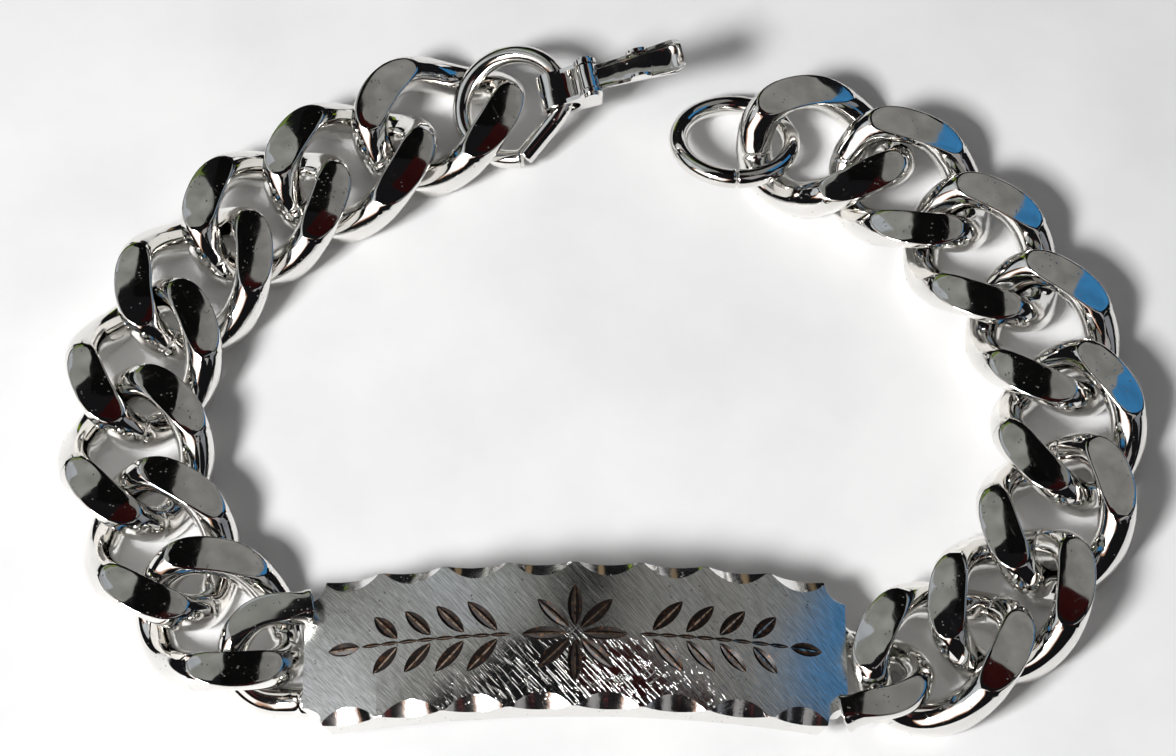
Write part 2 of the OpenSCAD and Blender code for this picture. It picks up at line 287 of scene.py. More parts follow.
def oxide():
    """Blackened bottom of the engraved strokes, with warm metal showing through."""
    s = Shader("engraved_oxide", (0.02, 0.012, 0.008), 0.35, 0.45)
    worn = s.remap(s.noise(3000, detail=4, rough=0.7), low=0.56, high=0.7)
    s.finish("Base Color", s.mix(worn, (0.008, 0.005, 0.004), (0.20, 0.085, 0.04)))
    s.finish("Metallic", s.remap(worn, low=0, high=1, to_low=0.2, to_high=0.9))
    s.bump((s.noise(6000, detail=3, rough=0.7), 0.01 * MM, 1.0))
    return s.material


def warm_line():
    """Worn ridge inside a stroke, where the warm metal under the plating shows."""
    s = Shader("engraved_ridge", (0.66, 0.42, 0.28), 1.0, 0.22)
    worn = s.remap(s.noise(2600, detail=3, rough=0.6), low=0.45, high=0.65)
    s.finish("Base Color", s.mix(worn, (0.9, 0.66, 0.5), (0.16, 0.07, 0.04)))
    s.bump((s.noise(5000, detail=3, rough=0.7), 0.006 * MM, 1.0))
    return s.material


link_silver = polished("link_silver", (0.88, 0.865, 0.835), rough=0.045, wave=0.014, pits=0.008)
ring_silver = polished("ring_silver", (0.85, 0.835, 0.805), rough=0.06, wave=0.012, pits=0.008)
sheet_silver = polished("sheet_silver", (0.86, 0.845, 0.82), rough=0.06, wave=0.09, pits=0.008)
plate_face = satin_face()
plate_edge = polished("plate_edge", (0.84, 0.83, 0.80), rough=0.07, wave=0.012, pits=0.01)
plate_cut = polished("plate_cut", (0.84, 0.83, 0.82), rough=0.1, wave=0.03, pits=0.012,
                     chatter=0.004)
engraved = oxide()
ridge_line = warm_line()


# Pieces
def show(name, data):
    """Puts a mesh, a light or a camera into the scene as an object."""
    piece = bpy.data.objects.new(name, data)
    bpy.context.scene.collection.objects.link(piece)
    return piece


def shade_smooth(mesh):
    mesh.polygons.foreach_set("use_smooth", [True] * len(mesh.polygons))


def new_piece(name, points, faces, materials, slot, node=None, body="bracelet", kinds=None):
    """A piece from points in millimetres in the layout's own coordinates."""
    mesh = bpy.data.meshes.new(name)
    mesh.from_pydata(((np.asarray(points, float) - MIDDLE) * MM).tolist(), [], faces)
    for material in materials:
        mesh.materials.append(material)
    if kinds is not None:
        mesh.polygons.foreach_set("material_index", kinds)
    shade_smooth(mesh)
    mesh.update()
    piece = show(name, mesh)
    if slot:
        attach(piece, body)
    if node:
        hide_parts(node)
    return piece


def sweep(rings, closed):
    """Points and faces of a tube through rings of equal point counts."""
    count, sides = len(rings), len(rings[0])
    points = np.concatenate(rings)
    faces = []
    for i in range(count if closed else count - 1):
        n = (i + 1) % count
        for k in range(sides):
            m = (k + 1) % sides
            faces.append((i * sides + k, i * sides + m, n * sides + m, n * sides + k))
    if not closed:
        faces.append(tuple(range(sides))[::-1])
        faces.append(tuple((count - 1) * sides + k for k in range(sides)))
    return points, faces


def frames_along(path):
    """Along, out and up directions at each point of a path, without twist."""
    path = np.asarray(path)
    along = np.gradient(path, axis=0)
    along /= np.linalg.norm(along, axis=1)[:, None]
    unlike_any_path = [0.3, 0.2, 1.0]
    out = unit(np.cross(along[0], unlike_any_path))
    frames = []
    for t in along:
        out = unit(out - (out @ t) * t)
        frames.append((t, out, np.cross(t, out)))
    return frames


def soften(path, times):
    """Rounds a path's corners in place; its ends stay."""
    for _ in range(times):
        path[1:-1] = (path[:-2] + 2 * path[1:-1] + path[2:]) / 4


# Wire that is ground flat where it would stand out of the chain's height. SOFT_EDGE is the
# width over which a ground edge is rounded. All angles run round the wire, in radians: CREASE
# is the step between the points beside an edge, and LEAST_HALF is kept where nothing is cut.
# EDGE_STEPS places the points beside an edge, INNER_STEPS and INNER_SHARE those between two
# edges, and SIDE_STEPS those on the round sides. SCAN holds the angles at which a cut is
# looked for, and HALVINGS is how often the search for a face halves its range.
SOFT_EDGE = 0.13
CREASE = 0.035
LEAST_HALF = 0.02
EDGE_STEPS = np.array([-3.0, -1.0, -0.35, 0.35, 1.0, 3.0])
INNER_STEPS = np.linspace(-1, 1, 6)[1:-1]
INNER_SHARE = 0.97
SIDE_STEPS = np.linspace(0, 1, 9)[1:-1]
SCAN = np.linspace(-math.pi / 2, math.pi / 2, 121)
HALVINGS = 14


def soft_least(a, b, width):
    """The smaller of two values, rounded over a short width where they meet."""
    h = np.maximum(width - np.abs(a - b), 0) / width
    return np.minimum(a, b) - h * h * width / 4


def spokes(angles, out, up):
    """Directions at some angles round a wire."""
    return np.cos(angles)[:, None] * out + np.sin(angles)[:, None] * up


def ground_face(x0, y0, slope, dome, lift=0.0):
    """Height of a tilted, slightly domed face, as a function of a place in plan."""
    def height(x, y):
        dx, dy = x - x0, y - y0
        sag = (dx ** 2 + dy ** 2) / (2 * dome)
        return HALF_HEIGHT + lift + slope[0] * dx + slope[1] * dy - sag
    return height


def underside(x, y):
    """Height of the flat face that everything lies on, at any place in plan."""
    return np.full(np.shape(x), -HALF_HEIGHT)


def reach_to(centre, rays, radius, surface, sign):
    """How far rays from a wire's middle go before they meet a ground face."""
    near = np.zeros(len(rays))
    far = np.full(len(rays), 2 * radius)
    for _ in range(HALVINGS):
        middle = (near + far) / 2
        p = centre + middle[:, None] * rays
        clear = sign * (surface(p[:, 0], p[:, 1]) - p[:, 2]) > 0
        near = np.where(clear, middle, near)
        far = np.where(clear, far, middle)
    return near


def ground_span(centre, out, up, radius, surface, sign):
    """Middle and half width, as angles, of the part of a section that one face cuts."""
    middle = math.atan2(up[2] * sign, out[2] * sign)
    rays = spokes(middle + SCAN, out, up)
    cut = radius - reach_to(centre, rays, radius, surface, sign)
    inside = np.nonzero(cut > 0)[0]
    if not len(inside):
        return middle, LEAST_HALF
    first, last = inside[0], inside[-1]
    ends = []
    for i, j in ((first, first - 1), (last, last + 1)):
        if 0 <= j < len(SCAN):
            ends.append(SCAN[i] + (SCAN[j] - SCAN[i]) * cut[i] / (cut[i] - cut[j]))
        else:
            ends.append(SCAN[i])
    return middle + sum(ends) / 2, max((ends[1] - ends[0]) / 2, LEAST_HALF)


def edge_fan(middle, half):
    """Angles across one ground face, with close steps beside both its edges."""
    step = min(CREASE, half / 4)
    return np.concatenate([
        middle - half + EDGE_STEPS * step,
        middle + INNER_STEPS * (half - 3 * step) * INNER_SHARE,
        middle + half + EDGE_STEPS * step])


def ground_ring(centre, out, up, radius, ceiling, floor):
    """Points round one section of a wire, cut by a ceiling and a floor surface."""
    top, top_half = ground_span(centre, out, up, radius, ceiling, 1)
    low, low_half = ground_span(centre, out, up, radius, floor, -1)
    low = top + (low - top) % (2 * math.pi)
    a, b = edge_fan(top, top_half), edge_fan(low, low_half)
    side_1 = a[-1] + SIDE_STEPS * (b[0] - a[-1])
    side_2 = b[-1] + SIDE_STEPS * (a[0] + 2 * math.pi - b[-1])
    rays = spokes(np.concatenate([a, side_1, b, side_2]), out, up)
    limit = np.minimum(
        reach_to(centre, rays, radius, ceiling, 1), reach_to(centre, rays, radius, floor, -1))
    return centre + soft_least(radius, limit, SOFT_EDGE)[:, None] * rays


# Links. FACET is how far each ground face's middle lies from the link's own, the radius of its
# dome and how proud it stands. FLATTENED is the height of the centre line as a share of the
# solid's. SEAM is the depth of the groove where the wire's ends meet, and SEAM_RING the
# section that has it.
LINK_RINGS = 200
FACET = dict(x=3.9, y=3.1, dome=29.0, lift=0.14)
FLATTENED = 0.93
SEAM = 0.06
SEAM_RING = {"left": 107, "right": 7}
TANGENT_STEP = 0.004
# How far each link's outer and inner ground face leans to the right and away, in degrees
LEFT_LEANS = [
    ((2.7, 1.9), (8.6, 1.9)), ((3.1, 1.5), (8, 1.5)), ((2.6, -1.6), (6.8, 1.8)),
    ((2.8, -2.4), (6.8, 1)), ((2.2, -3), (6.9, -0.4)), ((0.6, 2.2), (5.6, -3.9)),
    ((-0.2, 2.4), (3.2, -7.3)), ((9.2, -2.6), (3.2, -5.6))]
RIGHT_LEANS = [
    ((2.7, -1.1), (-7.3, 2.9)), ((0.4, -1.5), (-6.9, 0.3)), ((4.8, 0.8), (-6.7, 0.8)),
    ((12, 3), (-5.4, 0)), ((11.5, 2.6), (-3.2, -0.4)), ((10.4, 2.1), (-4.2, -0.9)),
    ((11, 1.9), (-4, -1.3)), ((10.8, 0.8), (-1.6, -5.6))]


def link_centre(t):
    """Centre line of a link's wire, as in the part's source but slightly flatter."""
    def rounded(v):
        return np.sign(v) * abs(v) ** LINK["power"]
    u = rounded(math.cos(t))
    x = (LINK["length"] - LINK["wire"]) / 2 * u
    y = (LINK["width"] - LINK["wire"]) / 2 * rounded(math.sin(t))
    q = -math.radians(LINK["twist"]) * ((1 + LINK["lead"]) * u - LINK["lead"] * u ** 3)
    return np.array([x, y * math.cos(q), FLATTENED * y * math.sin(q)])


def curb_link(name, end, place, leans, seam):
    """One link as a fine tube with slightly domed ground faces and a seam at one ring.

    The leans have the key 1 for the face on the link's own +X side and -1 for the other.
    """
    spin = turn("Z", place[2])
    ceilings = {}
    for side, (right, away) in leans.items():
        normal = np.array([math.tan(math.radians(right)), math.tan(math.radians(away)), 1])
        slope = -(normal @ spin)[:2]
        ceilings[side] = ground_face(
            side * FACET["x"], -side * FACET["y"], slope, FACET["dome"], FACET["lift"])
    rings = []
    for i in range(LINK_RINGS):
        t = 2 * math.pi * (i + 0.5) / LINK_RINGS
        p = link_centre(t)
        along = unit(link_centre(t + TANGENT_STEP) - link_centre(t - TANGENT_STEP))
        out = unit(p - (p @ along) * along)
        ceiling = ceilings[1 if p[0] > p[1] else -1]
        radius = LINK["wire"] / 2 - (SEAM if i == seam else 0)
        rings.append(ground_ring(p, out, np.cross(along, out), radius, ceiling, underside))
    points, faces = sweep(rings, True)
    points = points @ spin.T + end + np.array([place[0], place[1], HALF_HEIGHT])
    new_piece(name + "_polished", points, faces, [link_silver], "link_silver", name)


for way, end, outside, route, leans in (("left", LEFT_END, -1, LEFT_ROUTE, LEFT_LEANS),
                                        ("right", RIGHT_END, 1, RIGHT_ROUTE, RIGHT_LEANS)):
    for i, (place, (outer, inner)) in enumerate(zip(route, leans)):
        curb_link(f"link_{way}_{i + 1}", end, place, {outside: outer, -outside: inner},
                  SEAM_RING[way])

# Rings of plain wire, each with a fine seam where its ends meet. TRIMS rounds those ends:
# how much thinner the wire is, and how far from the end.
ARC_STEPS = 240
CHORD_STEPS = 40
RING_SOFTENING = 130
WIRE_SIDES = 40
SEAM_GAP = 0.05
TRIMS = [(0.22, 0.0), (0.13, 0.02), (0.06, 0.06), (0.02, 0.12), (0.0, 0.22)]


def wire_ring(name, node, spec, end):
    """A ring bent from wire; part of it may be pulled straight beside the seam."""
    radius = (spec["outer"] - RING_WIRE) / 2
    start, straight = spec["straight"]
    angles = np.radians(np.linspace(start + straight, start + 360, ARC_STEPS))
    path = np.stack([radius * np.cos(angles), radius * np.sin(angles), 0 * angles], axis=1)
    if straight:
        share = np.linspace(0, 1, CHORD_STEPS)[:-1, None]
        path = np.concatenate([path[-1] + (path[0] - path[-1]) * share, path])
        soften(path, RING_SOFTENING)
    frames = frames_along(path)
    sides = np.arange(WIRE_SIDES) * 2 * math.pi / WIRE_SIDES
    steps = np.linalg.norm(np.diff(path, axis=0), axis=1)
    length = np.concatenate([[0], np.cumsum(steps)])
    total = length[-1]

    def ring_at(distance, inset):
        p = np.array([np.interp(distance, length, path[:, k]) for k in range(3)])
        i = int(np.clip(np.searchsorted(length, distance), 1, len(path) - 2))
        _, out, up = frames[i]
        return p + (RING_WIRE / 2 - inset) * spokes(sides, out, up)

    rings = [ring_at(SEAM_GAP / 2 + distance, inset) for inset, distance in TRIMS]
    rings += [ring_at(distance, 0) for distance in length[2:-2]]
    rings += [ring_at(total - SEAM_GAP / 2 - distance, inset)
              for inset, distance in TRIMS[::-1]]
    points, faces = sweep(rings, False)
    tilt = turn("Y", spec["tilt"][1]) @ turn("X", spec["tilt"][0])
    points = points @ tilt.T + end + np.array(spec["at"])
    new_piece(name, points, faces, [ring_silver], "ring_wire", node)


wire_ring("jump_ring_wire", "jump_ring", JUMP_RING, LEFT_END)
wire_ring("end_ring_wire", "end_ring", END_RING, RIGHT_END)

# Soldered loops at the plate's ends: the steps of bend and legs, the ground face on top, and
# the solder that thickens the legs towards the plate
LOOP_STEPS = dict(bend=90, high=20, low=25, softening=30)
LOOP_FACE = ground_face(3, -3, slope=(-0.07, -0.035), dome=40)
SOLDER = dict(thick=0.2, start=0.1, fade=0.3)


def end_loop(name, side):
    """A tilted half ring with two legs, ground like the chain and soldered to the plate."""
    half = math.radians(LOOP["tilt"])
    bend = np.array([
        (LOOP["reach"] + LOOP["bend"] * math.cos(a),
         LOOP["bend"] * math.sin(a) * math.cos(half),
         -LOOP["bend"] * math.sin(a) * math.sin(half))
        for a in np.radians(np.linspace(-90, 90, LOOP_STEPS["bend"]))])
    high_foot = np.array([-LOOP["high"], -LOOP["seat"], LOOP["rise"]])
    low_foot = np.array([-LOOP["low"], LOOP["seat"], -LOOP["rise"]])
    high_share = np.arange(LOOP_STEPS["high"])[:, None] / LOOP_STEPS["high"]
    low_share = np.arange(1, LOOP_STEPS["low"] + 1)[:, None] / LOOP_STEPS["low"]
    path = np.concatenate([
        high_foot + (bend[0] - high_foot) * high_share,
        bend,
        bend[-1] + (low_foot - bend[-1]) * low_share])
    soften(path, LOOP_STEPS["softening"])
    rings = []
    for p, (_, out, up) in zip(path, frames_along(path)):
        from_plate = max(p[0] + SOLDER["start"], 0)
        radius = LOOP["wire"] / 2 + SOLDER["thick"] * math.exp(-from_plate / SOLDER["fade"])
        rings.append(ground_ring(p, out, up, radius, LOOP_FACE, underside))
    points, faces = sweep(rings, False)
    spin, place = (0, RIGHT_END) if side == "right" else (180, LEFT_END)
    points = points @ turn("Z", spin).T + place + np.array([0, LOOP_SHIFT[side], HALF_HEIGHT])
    new_piece(name, points, faces, [plate_edge], "plate_silver", "id_plate")


end_loop("plate_loop_left", "left")
end_loop("plate_loop_right", "right")

# The plate. BEND_Z is the height of its bend's axis in the frame, below the table. PLATE_SOFT
# rounds the bar's long edges.
HALF_ANGLE = math.asin(PLATE["length"] / 2 / PLATE["bend"])
BEND_Z = (HALF_HEIGHT + PLATE["thick"] / 2 * math.cos(HALF_ANGLE)
          - PLATE["bend"] * math.cos(HALF_ANGLE))
PLATE_MATERIALS = [plate_face, plate_edge, plate_cut, engraved, ridge_line]
FACE, EDGE, CUT, GROOVE, RIDGE = range(5)
PLATE_STEPS = dict(notch=16, half=100)
PLATE_SOFT = 0.07
PLATE_CREASE = math.radians(22)


def on_bend(x, y, height):
    """A point of the plate from its plan place and its height over the upper face."""
    lean = math.asin(max(-1.0, min(1.0, x / PLATE["bend"])))
    radius = PLATE["bend"] + height
    return (PLATE["at"][0] + radius * math.sin(lean), PLATE["at"][1] + y,
            BEND_Z + radius * math.cos(lean))


def plate_bar():
    """The bent bar with notched corners, as rings across its width."""
    half, notch, wide = PLATE["length"] / 2, PLATE["notch"], PLATE["width"] / 2
    corner = [(half - notch * math.cos(a), wide - notch * math.sin(a))
              for a in np.radians(np.linspace(0, 90, PLATE_STEPS["notch"]))]
    straight = [(x, wide) for x in np.linspace(0, half - notch, PLATE_STEPS["half"])[:-1]]
    right = straight + corner
    columns = right[::-1] + [(-x, w) for x, w in right[1:]]
    top, low, soft = 0.0, -PLATE["thick"], PLATE_SOFT
    ease = 0.3 * soft
    rings = []
    for x, w in columns:
        profile = [(-w + soft, top), (w - soft, top), (w - ease, top - ease),
                   (w, top - soft), (w, low + soft), (w - soft, low), (-w + soft, low),
                   (-w, low + soft), (-w, top - soft), (-w + ease, top - ease)]
        rings.append(np.array([on_bend(x, y, z) for y, z in profile]))
    points, faces = sweep(rings, False)
    sides = len(rings[0])
    kinds = [FACE if i % sides == 0 else EDGE for i in range(len(faces) - 2)] + [EDGE, EDGE]
    return new_piece("id_plate_engraved", points, faces, PLATE_MATERIALS, "plate_silver",
                     "id_plate", kinds=kinds)


# A leaf's section, in shares of its half width and its depth, and the point that the ridge
# between its flutes starts at. CUTTER_TOP is how far a cutter stands out of the face.
LEAF_SECTION = [(-1.0, 0.0), (-0.55, -1.0), (-0.13, -0.42), (0.13, -0.42), (0.55, -1.0),
                (1.0, 0.0)]
LEAF_RIDGE = 3
LEAF_STEPS = 15
LEAF_POINTED = dict(start=0.03, span=0.94, width_power=0.8, depth_power=0.6)
CUTTER_TOP = 0.3
ROSETTE = dict(leaves=8, start=0.6)
SPRAY = dict(leaf=3.5, width=1.15, depth=0.25, pairs=4, first=6, step=2.6, beside=0.35,
             angle=48, shorter=0.25, tip=16.75, tip_shorter=1.0)
STEM = dict(parts=8, first=5.0, step=1.43, leaf=1.6, width=0.36, depth=0.18)


def leaf_cutter(origin, angle, length, width, depth):
    """A closed cutter for one engraved leaf: two flutes beside a raised middle line."""
    spin = turn("Z", angle)[:2, :2]
    rings = []
    for i in range(LEAF_STEPS):
        passed = LEAF_POINTED["start"] + LEAF_POINTED["span"] * i / (LEAF_STEPS - 1)
        share = 0.5 - 0.5 * math.cos(math.pi * passed)
        half = width / 2 * (4 * share * (1 - share)) ** LEAF_POINTED["width_power"]
        drop = depth * (half * 2 / width) ** LEAF_POINTED["depth_power"]
        x = share * length
        row = [(x, -half, CUTTER_TOP)]
        row += [(x, y * half, z * drop) for y, z in LEAF_SECTION]
        row += [(x, half, CUTTER_TOP)]
        rings.append(np.array([on_bend(*(spin @ np.array([x, y]) + origin), z)
                               for x, y, z in row]))
    points, faces = sweep(rings, False)
    sides = len(rings[0])
    kinds = [RIDGE if i % sides == LEAF_RIDGE else GROOVE for i in range(len(faces) - 2)]
    return points, faces, kinds + [GROOVE, GROOVE]


def ornament_cutters():
    """One rosette and a spray on either side, on the places that the solid has them."""
    leaf, wide, depth = SPRAY["leaf"], SPRAY["width"], SPRAY["depth"]
    cutters = []
    for i in range(ROSETTE["leaves"]):
        angle = 360 / ROSETTE["leaves"] * i
        a = math.radians(angle)
        place = ROSETTE["start"] * np.array([math.cos(a), math.sin(a)])
        cutters.append(leaf_cutter(place, angle, leaf, wide, depth))
    for way, spin in ((1, 0), (-1, 180)):
        for i in range(SPRAY["pairs"]):
            for side in (-1, 1):
                place = np.array([SPRAY["first"] + SPRAY["step"] * i, side * SPRAY["beside"]])
                cutters.append(leaf_cutter(place * way, spin + side * SPRAY["angle"],
                                           leaf - SPRAY["shorter"] * i, wide, depth))
        cutters.append(leaf_cutter(np.array([SPRAY["tip"] * way, 0]), spin,
                                   leaf - SPRAY["tip_shorter"], wide, depth))
        for i in range(STEM["parts"]):
            place = np.array([(STEM["first"] + STEM["step"] * i) * way, 0])
            cutters.append(leaf_cutter(place, spin, STEM["leaf"], STEM["width"], STEM["depth"]))
    return cutters


# How many sides a cutting cylinder has, and how far it reaches either way along its axis
SCALLOP_SIDES = 160
SCALLOP_REACH = 7


def scallop_cutters():
    """Cylinders whose axes slope down and outwards, one for each bright cut."""
    slope = math.radians(SCALLOP["slope"])
    depth = SCALLOP["width"] * math.sin(slope)
    radius = ((SCALLOP["length"] / 2) ** 2 + depth ** 2) / (2 * depth)
    cut_length = PLATE["length"] - 2 * PLATE["notch"] + 2 * SCALLOP["overrun"]
    step = cut_length / SCALLOP["count"]
    angles = np.arange(SCALLOP_SIDES) * 2 * math.pi / SCALLOP_SIDES
    cutters = []
    for side in (-1, 1):
        for i in range(SCALLOP["count"]):
            lean = (i - (SCALLOP["count"] - 1) / 2) * step / PLATE["bend"]
            along = turn("Y", math.degrees(lean))
            spin = along @ turn("X", side * (90 - SCALLOP["slope"]))
            foot = along @ np.array([0, side * PLATE["width"] / 2, PLATE["bend"]])
            rings = []
            for h in (-SCALLOP_REACH, SCALLOP_REACH):
                circle = np.array([
                    (radius * math.cos(a), side * (radius - depth) + radius * math.sin(a), h)
                    for a in angles])
                rings.append(circle @ spin.T + foot + np.array([*PLATE["at"], BEND_Z]))
            points, faces = sweep(rings, False)
            cutters.append((points, faces, [CUT] * len(faces)))
    return cutters


def cut_away(piece, name, cutters):
    """Cuts closed meshes out of a piece; the new faces keep the cutters' finish."""
    points, faces, kinds = [], [], []
    offset = 0
    for some_points, some_faces, some_kinds in cutters:
        points.append(some_points)
        faces += [tuple(i + offset for i in face) for face in some_faces]
        kinds += some_kinds
        offset += len(some_points)
    cutter = new_piece(name, np.concatenate(points), faces, PLATE_MATERIALS, None, kinds=kinds)
    modifier = piece.modifiers.new(name, "BOOLEAN")
    modifier.object = cutter
    modifier.operation = "DIFFERENCE"
    modifier.solver = "EXACT"
    modifier.use_self = True
    graph = bpy.context.evaluated_depsgraph_get()
    mesh = bpy.data.meshes.new_from_object(piece.evaluated_get(graph))
    piece.modifiers.clear()
    old, piece.data = piece.data, mesh
    bpy.data.meshes.remove(old)
    bpy.data.objects.remove(cutter)


plate = plate_bar()
cut_away(plate, "scallop_cutters", scallop_cutters())
cut_away(plate, "ornament_cutters", ornament_cutters())
shade_smooth(plate.data)
plate.data.set_sharp_from_angle(angle=PLATE_CREASE)

# The clasp: X points away from the ring, Y along its wire. A corner's or rim's points are how
# far they lie in from the wall's side, and up from the channel's bottom or down from its rim.
# TIP rounds the cover's end in plan and curls it up, and ARCH bows its bottom.
OUTER_CORNER = [(0, 0.45), (0.12, 0.12), (0.45, 0)]
INNER_CORNER = [(0.25, 0.02), (0.06, 0.1), (0, 0.3)]
RIM_SIDE = 0.12
RIM_TOP = (0.06, 0.02)
TIP = dict(round=0.9, narrower=0.26, curl_length=1.3, curl=0.75, wall_follows=0.1)
ARCH = 0.16
LEAST_WALL = 0.05
COVER_STEPS = dict(knuckle=14, bump=18, tip=18, roll=48)
BUMP_MARGIN = 0.1
KNUCKLE_SOFT = 0.08
COVER_CREASE = math.radians(35)


def on_clasp(points):
    """Takes points from the hinge pin's own place to the layout."""
    radius = (JUMP_RING["outer"] - RING_WIRE) / 2
    points = (np.asarray(points) + CLASP["pin"]) @ turn("Y", CLASP["droop"]).T + [radius, 0, 0]
    tilt = turn("Y", JUMP_RING["tilt"][1]) @ turn("X", JUMP_RING["tilt"][0])
    return points @ (tilt @ turn("Z", CLASP["at"])).T + LEFT_END + np.array(JUMP_RING["at"])


def past(x, length):
    """How far x is into the last stretch of the cover, from 0 to 1, squared."""
    return max(0.0, (x - COVER["length"] + length) / length) ** 2


def cover_section(x):
    """Open channel section of the cover at one distance from the pin."""
    low, sheet = -COVER["knuckle"], CLASP["sheet"]
    near = CLASP["width"] / 2 - sheet - CLASP["play"]
    start = COVER["ear"] + 2 * CLASP["play"]
    share = min(1.0, max(0.0, (x - start) / (COVER["length"] - start)))
    half = near + (COVER["end"] / 2 - near) * share
    half *= 1 - TIP["narrower"] * past(x, TIP["round"])
    top = low + sheet + (COVER["wall"] - sheet) * x / COVER["length"]
    bump = COVER["bump_radius"] ** 2 - (x - COVER["bump"]) ** 2
    if bump > 0:
        top = max(top, COVER["bump_lift"] + math.sqrt(bump))
    curl = TIP["curl"] * past(x, TIP["curl_length"])
    under = low + ARCH * math.sin(math.pi * share) ** 2 + curl
    top = max(top + TIP["wall_follows"] * curl, under + sheet + LEAST_WALL)
    wall = half - sheet
    outer = [(half, top - RIM_SIDE)] + [(half - y, under + z) for y, z in OUTER_CORNER]
    inner = [(wall - y, under + sheet + z) for y, z in INNER_CORNER]
    inner += [(wall, top - RIM_SIDE), (wall + RIM_TOP[0], top - RIM_TOP[1]),
              (half - RIM_TOP[0], top - RIM_TOP[1])]
    mirrored = [[(-y, z) for y, z in part[::-1]] for part in (outer, inner)]
    return outer + mirrored[0] + mirrored[1] + inner


def clasp_cover():
    """The fold-over channel and the rolled knuckle that turns on the pin."""
    bump, bump_radius = COVER["bump"], COVER["bump_radius"]
    over_bump = np.linspace(BUMP_MARGIN, math.pi - BUMP_MARGIN, COVER_STEPS["bump"])
    stations = np.concatenate([
        np.linspace(0.0, bump - bump_radius, COVER_STEPS["knuckle"]),
        bump - bump_radius * np.cos(over_bump),
        np.linspace(bump + bump_radius, COVER["length"], COVER_STEPS["tip"])])
    rings = [np.array([(x, y, z) for y, z in cover_section(x)]) for x in stations]
    points, faces = sweep(rings, False)
    half = CLASP["width"] / 2 - CLASP["sheet"] - CLASP["play"]
    bore, outside, soft = COVER["bore"], COVER["knuckle"], KNUCKLE_SOFT
    profile = [(bore, -half), (outside - soft, -half), (outside, -half + soft),
               (outside, half - soft), (outside - soft, half), (bore, half)]
    rolls = [np.array([(r * math.cos(a), y, r * math.sin(a)) for r, y in profile])
             for a in np.arange(COVER_STEPS["roll"]) * 2 * math.pi / COVER_STEPS["roll"]]
    roll_points, roll_faces = sweep(rolls, True)
    faces += [tuple(i + len(points) for i in face) for face in roll_faces]
    piece = new_piece("clasp_cover_channel", on_clasp(np.concatenate([points, roll_points])),
                      faces, [sheet_silver], "clasp_sheet", "clasp_cover", body="cover")
    piece.data.set_sharp_from_angle(angle=COVER_CREASE)


clasp_cover()

# The strap and the pin keep the solids' own meshes, with their edges rounded
MERGED_FACES = math.radians(1)
ROUNDED_EDGES = math.radians(40)
EDGE_ROUND = 0.13
for node in ("clasp_base", "clasp_pin"):
    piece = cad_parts[node]
    piece.data.materials.clear()
    piece.data.materials.append(sheet_silver)
    dissolve = piece.modifiers.new("dissolve", "DECIMATE")
    dissolve.decimate_type = "DISSOLVE"
    dissolve.angle_limit = MERGED_FACES
    bevel = piece.modifiers.new("round_edges", "BEVEL")
    bevel.width = EDGE_ROUND * MM
    bevel.segments = 3
    bevel.limit_method = "ANGLE"
    bevel.angle_limit = ROUNDED_EDGES
    bevel.harden_normals = True
    piece.modifiers.new("even_shading", "WEIGHTED_NORMAL")


# The room: a table, a window and plain cards that the metal mirrors. Lengths are in metres
# and angles in degrees. CARD_PATCHES is the range of a card's uneven brightness.
TABLE_HALF = 3.0
WINDOW = dict(width=0.17, height=0.14, energy=4.9, toward=(4.1, 3.7, -5.0), distance=0.6)
TABLE_FILL = (0.165, 0.163, 0.163, 1)
MIRRORED_DARK = (0.007, 0.007, 0.008, 1)
CARD_PATCHES = (0.72, 1.2)
# Name, azimuth, elevation, width, height, colour, brightness, distance and roll
CARDS = [
    ("ceiling_left", -46, 50, 1.2, 1.0, (0.25, 0.255, 0.24), 1.0, 1.4, 0),
    ("wall_left", -78, 40, 0.8, 0.9, (0.55, 0.58, 0.6), 1.0, 1.38, 0),
    ("pale_left", -33, 50, 0.28, 0.5, (0.4, 0.425, 0.46), 1.0, 1.3, 0),
    ("ceiling_right", 40, 54, 0.95, 0.9, (0.22, 0.22, 0.21), 1.0, 1.4, 0),
    ("dark_ahead", 3, 52, 0.24, 0.9, (0.003, 0.003, 0.003), 1.0, 1.2, 0),
    ("red_above", 35, 78, 0.28, 0.28, (0.022, 0.004, 0.004), 1.0, 1.2, 0),
    ("blue_right", 58, 38, 0.4, 0.7, (0.04, 0.185, 0.4), 1.0, 1.2, 32),
    ("green_left", -19, 42, 0.26, 0.2, (0.13, 0.19, 0.04), 1.0, 1.2, 0),
    ("green_far", -22, 5, 0.24, 0.14, (0.2, 0.3, 0.02), 1.0, 1.2, 0),
    ("ochre_far", 9, 5, 0.12, 0.12, (0.22, 0.16, 0.09), 1.0, 1.2, 0),
    ("white_far", 30, 6, 0.2, 0.2, (0.9, 0.9, 0.9), 1.0, 1.2, 0),
    ("bright_wall", 226, 36, 1.25, 0.62, (1.0, 1.0, 1.0), 1.3, 1.3, 0),
    ("warm_edge", 226, 36, 1.5, 0.78, (1.0, 0.55, 0.34), 0.6, 1.36, 0),
    ("red_behind", 163, 60, 0.2, 0.3, (0.1, 0.025, 0.025), 1.0, 1.2, 0),
    ("grey_behind", 128, 52, 0.62, 0.6, (0.34, 0.33, 0.33), 1.0, 1.2, 0),
    ("grey_side", 104, 24, 0.6, 0.4, (0.2, 0.21, 0.23), 1.0, 1.2, 0)]


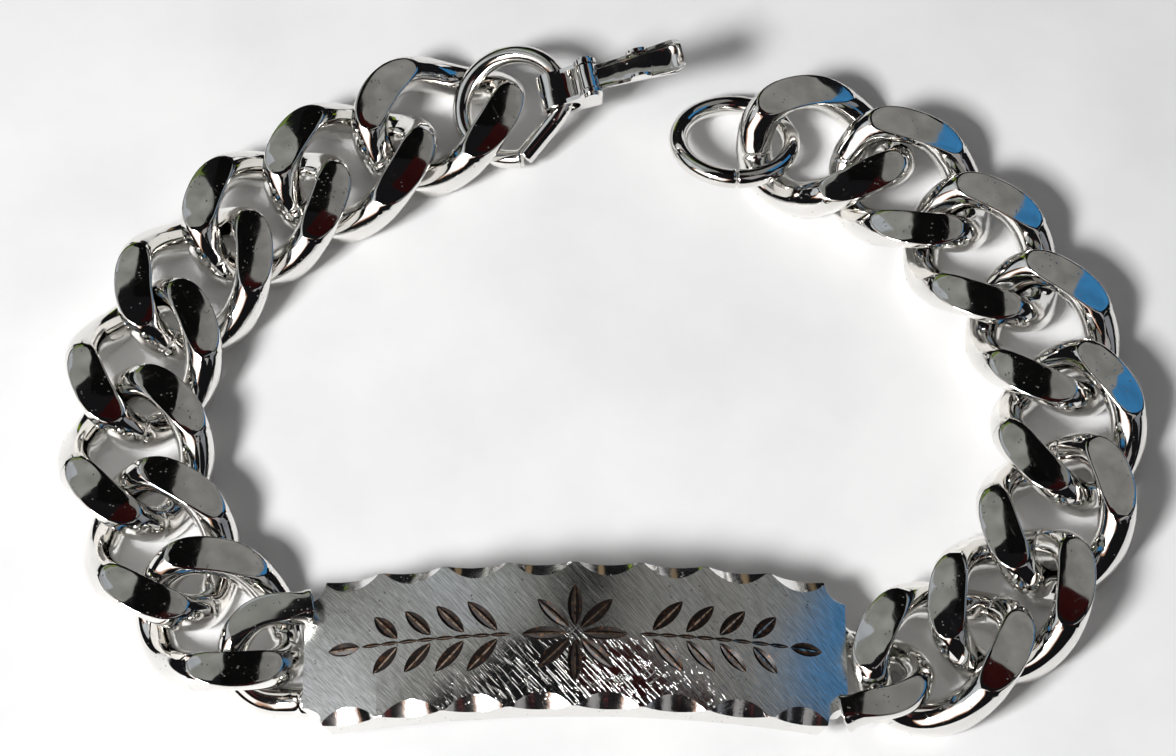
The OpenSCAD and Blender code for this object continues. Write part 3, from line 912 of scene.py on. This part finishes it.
def flat_sheet(name, half_width, half_height, material):
    """A flat rectangle with one material, for the table and the cards."""
    mesh = bpy.data.meshes.new(name)
    w, h = half_width, half_height
    mesh.from_pydata([(-w, -h, 0), (w, -h, 0), (w, h, 0), (-w, h, 0)], [], [(0, 1, 2, 3)])
    mesh.materials.append(material)
    piece = show(name, mesh)
    return piece


def card(name, azimuth, elevation, width, height, colour, strength, distance, roll):
    """A flat glowing card that only mirror-like surfaces see; roll turns it clockwise."""
    s = Shader(name, (0, 0, 0), 0.0, 1.0)
    s.finish("Specular IOR Level", 0.0)
    patchy = s.remap(s.noise(5, detail=3), low=0.3, high=0.7)
    dim, bright = (tuple(share * c for c in colour) for share in CARD_PATCHES)
    s.finish("Emission Color", s.mix(patchy, dim, bright))
    s.finish("Emission Strength", strength)
    piece = flat_sheet(name, width / 2, height / 2, s.material)
    a, e = math.radians(azimuth), math.radians(elevation)
    away = Vector((math.sin(a) * math.cos(e), math.cos(a) * math.cos(e), math.sin(e)))
    piece.location = away * distance
    rolled = away.to_track_quat("Z", "Y") @ Quaternion((0, 0, 1), math.radians(roll))
    piece.rotation_euler = rolled.to_euler()
    piece.visible_camera = False
    piece.visible_diffuse = False
    piece.visible_shadow = False


def table():
    s = Shader("paper", (0.85, 0.85, 0.85), 0.0, 0.7)
    mottle = s.remap(s.noise(60, detail=4, rough=0.55), low=0.35, high=0.65)
    s.finish("Base Color", s.mix(mottle, (0.76, 0.76, 0.765), (0.83, 0.83, 0.83)))
    flat_sheet("table_top", TABLE_HALF, TABLE_HALF, s.material)


def window_light():
    light = bpy.data.lights.new("window_light", "AREA")
    light.shape = "RECTANGLE"
    light.size, light.size_y = WINDOW["width"], WINDOW["height"]
    light.energy = WINDOW["energy"]
    piece = show("window_light", light)
    toward = Vector(WINDOW["toward"]).normalized()
    piece.location = -toward * WINDOW["distance"]
    piece.rotation_euler = toward.to_track_quat("-Z", "Y").to_euler()


def room():
    """Soft grey fill on the table, and a dark room in what the metal mirrors."""
    world = bpy.data.worlds.new("room")
    bpy.context.scene.world = world
    world.use_nodes = True
    nodes, links = world.node_tree.nodes, world.node_tree.links
    path = nodes.new("ShaderNodeLightPath")
    mix = nodes.new("ShaderNodeMix")
    mix.data_type = "RGBA"
    mix.inputs["A"].default_value = TABLE_FILL
    mix.inputs["B"].default_value = MIRRORED_DARK
    links.new(path.outputs["Is Glossy Ray"], mix.inputs["Factor"])
    links.new(mix.outputs["Result"], nodes["Background"].inputs["Color"])


table()
window_light()
room()
for row in CARDS:
    card(*row)

# Camera: the photograph looks down at the table from the plate's side. Its focal length is
# in the photograph's own pixels.
PHOTO_WIDTH = 1176
FOCAL_PIXELS = 4000
SENSOR_WIDTH = 36
CAMERA_AT = np.array([0.0, -153.9, 289.5])
CAMERA_TILT = 28
camera_data = bpy.data.cameras.new("camera")
camera_data.sensor_width = SENSOR_WIDTH
camera_data.lens = SENSOR_WIDTH * FOCAL_PIXELS / PHOTO_WIDTH
camera_data.clip_start = 0.01
camera_data.clip_end = 20
camera = show("camera", camera_data)
camera.location = (CAMERA_AT - MIDDLE) * MM
camera.rotation_euler = (math.radians(CAMERA_TILT), 0, 0)
bpy.context.scene.camera = camera
bpy.context.scene.view_settings.view_transform = "Standard"
